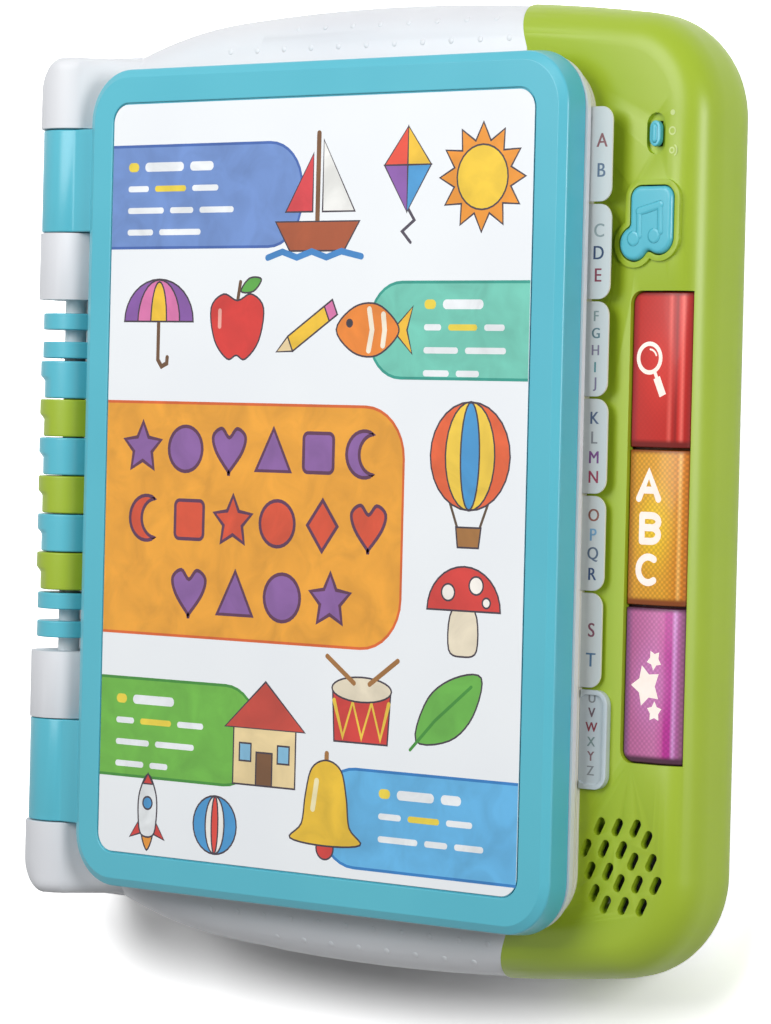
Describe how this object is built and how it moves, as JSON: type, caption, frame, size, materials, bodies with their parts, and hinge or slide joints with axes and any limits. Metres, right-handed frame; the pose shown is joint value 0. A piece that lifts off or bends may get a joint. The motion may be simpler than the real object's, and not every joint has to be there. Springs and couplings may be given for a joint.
{
  "type": "electronic dictionary",
  "caption": "Book-shaped talking picture dictionary with a hinged cover, tabbed page leaves on a spine rod, light-up buttons and a speaker panel.",
  "frame": {"origin": "on the table under the middle of the book's outline, with the book lying on its back", "axes": "+Z out of the cover, +Y to the top of the pages, +X from the spine to the control panel"},
  "size_m": [0.2346, 0.2672, 0.0475],
  "materials": {
    "white_abs": "smooth moulded white",
    "green_abs": "smooth moulded lime green",
    "blue_abs": "smooth moulded sky blue",
    "rod_white": "smooth",
    "cover_print": "printed, satin laminate",
    "page_card": "printed, satin laminate",
    "tab_grey": "satin",
    "red_clear": "translucent red",
    "amber_clear": "translucent amber",
    "purple_clear": "translucent purple",
    "circuit_board": "glass-epoxy with solder mask",
    "black_epoxy": "moulded package",
    "film": "polyimide film",
    "grey_rubber": "silicone",
    "led_clear": "clear epoxy",
    "steel": "nickel plated",
    "speaker_steel": "pressed steel",
    "cone_paper": "pulp",
    "ferrite": "sintered",
    "cell_jacket": "printed steel jacket",
    "foot_rubber": "matte"
  },
  "bodies": {
    "root": {"rear_casing": "white_abs", "front_casing": "white_abs", "green_panel": "green_abs", "hinge_rod": "rod_white", "spacer_rings": "blue_abs", "last_page": "page_card", "last_tab": "tab_grey", "sensor_film": "film", "main_board": "circuit_board", "board_components": "black_epoxy", "board_screws": "steel", "key_board": "circuit_board", "keypad_mat": "grey_rubber", "button_leds": "led_clear", "slide_switch": "black_epoxy", "spine_board": "circuit_board", "page_sensors": "black_epoxy", "speaker_frame": "speaker_steel", "speaker_cone": "cone_paper", "speaker_magnet": "ferrite", "battery_cells": "cell_jacket", "battery_contacts": "steel", "battery_door": "white_abs", "door_screw": "steel", "casing_screws": "steel", "rubber_feet": "foot_rubber"},
    "cover": {"cover_shell": "blue_abs", "cover_insert": "cover_print", "cover_liner": "white_abs"},
    "leaf_1": {"leaf_1": "page_card", "binder_1": "blue_abs"},
    "leaf_2": {"leaf_2": "page_card", "binder_2": "green_abs"},
    "leaf_3": {"leaf_3": "page_card", "binder_3": "blue_abs"},
    "leaf_4": {"leaf_4": "page_card", "binder_4": "green_abs"},
    "leaf_5": {"leaf_5": "page_card", "binder_5": "blue_abs"},
    "leaf_6": {"leaf_6": "page_card", "binder_6": "green_abs"},
    "search_button": {"search_button": "red_clear"},
    "letters_button": {"letters_button": "amber_clear"},
    "stars_button": {"stars_button": "purple_clear"},
    "note_button": {"note_button": "blue_abs"},
    "power_slider": {"power_slider": "blue_abs"}
  },
  "joints": [
    {"name": "cover_hinge", "type": "hinge", "parent": "root", "child": "cover", "pos_m": [-0.1059, 0, 0.035], "axis": [0, -1, 0], "range_deg": [0, 180]},
    {"name": "leaf_1_hinge", "type": "hinge", "parent": "root", "child": "leaf_1", "pos_m": [-0.1059, 0, 0.035], "axis": [0, -1, 0], "range_deg": [0, 155.3]},
    {"name": "leaf_2_hinge", "type": "hinge", "parent": "root", "child": "leaf_2", "pos_m": [-0.1059, 0, 0.035], "axis": [0, -1, 0], "range_deg": [0, 129.5]},
    {"name": "leaf_3_hinge", "type": "hinge", "parent": "root", "child": "leaf_3", "pos_m": [-0.1059, 0, 0.035], "axis": [0, -1, 0], "range_deg": [0, 103.8]},
    {"name": "leaf_4_hinge", "type": "hinge", "parent": "root", "child": "leaf_4", "pos_m": [-0.1059, 0, 0.035], "axis": [0, -1, 0], "range_deg": [0, 78.2]},
    {"name": "leaf_5_hinge", "type": "hinge", "parent": "root", "child": "leaf_5", "pos_m": [-0.1059, 0, 0.035], "axis": [0, -1, 0], "range_deg": [0, 52.5]},
    {"name": "leaf_6_hinge", "type": "hinge", "parent": "root", "child": "leaf_6", "pos_m": [-0.1059, 0, 0.035], "axis": [0, -1, 0], "range_deg": [0, 26.7]},
    {"name": "search_press", "type": "slide", "parent": "root", "child": "search_button", "axis": [0, 0, -1], "range_m": [0, 0.0012], "stiffness_N_per_m": 400, "springref_m": -0.0004},
    {"name": "letters_press", "type": "slide", "parent": "root", "child": "letters_button", "axis": [0, 0, -1], "range_m": [0, 0.0012], "stiffness_N_per_m": 400, "springref_m": -0.0004},
    {"name": "stars_press", "type": "slide", "parent": "root", "child": "stars_button", "axis": [0, 0, -1], "range_m": [0, 0.0012], "stiffness_N_per_m": 400, "springref_m": -0.0004},
    {"name": "note_press", "type": "slide", "parent": "root", "child": "note_button", "axis": [0, 0, -1], "range_m": [0, 0.001], "stiffness_N_per_m": 400, "springref_m": -0.0004},
    {"name": "power_slide", "type": "slide", "parent": "root", "child": "power_slider", "axis": [0, -1, 0], "range_m": [-0.002, 0.002]}
  ],
  "couplings": [
    {"joint": "leaf_1_hinge", "follows": "cover_hinge", "ratio": 0.857},
    {"joint": "leaf_2_hinge", "follows": "cover_hinge", "ratio": 0.714},
    {"joint": "leaf_3_hinge", "follows": "cover_hinge", "ratio": 0.571},
    {"joint": "leaf_4_hinge", "follows": "cover_hinge", "ratio": 0.429},
    {"joint": "leaf_5_hinge", "follows": "cover_hinge", "ratio": 0.286},
    {"joint": "leaf_6_hinge", "follows": "cover_hinge", "ratio": 0.143}
  ]
}
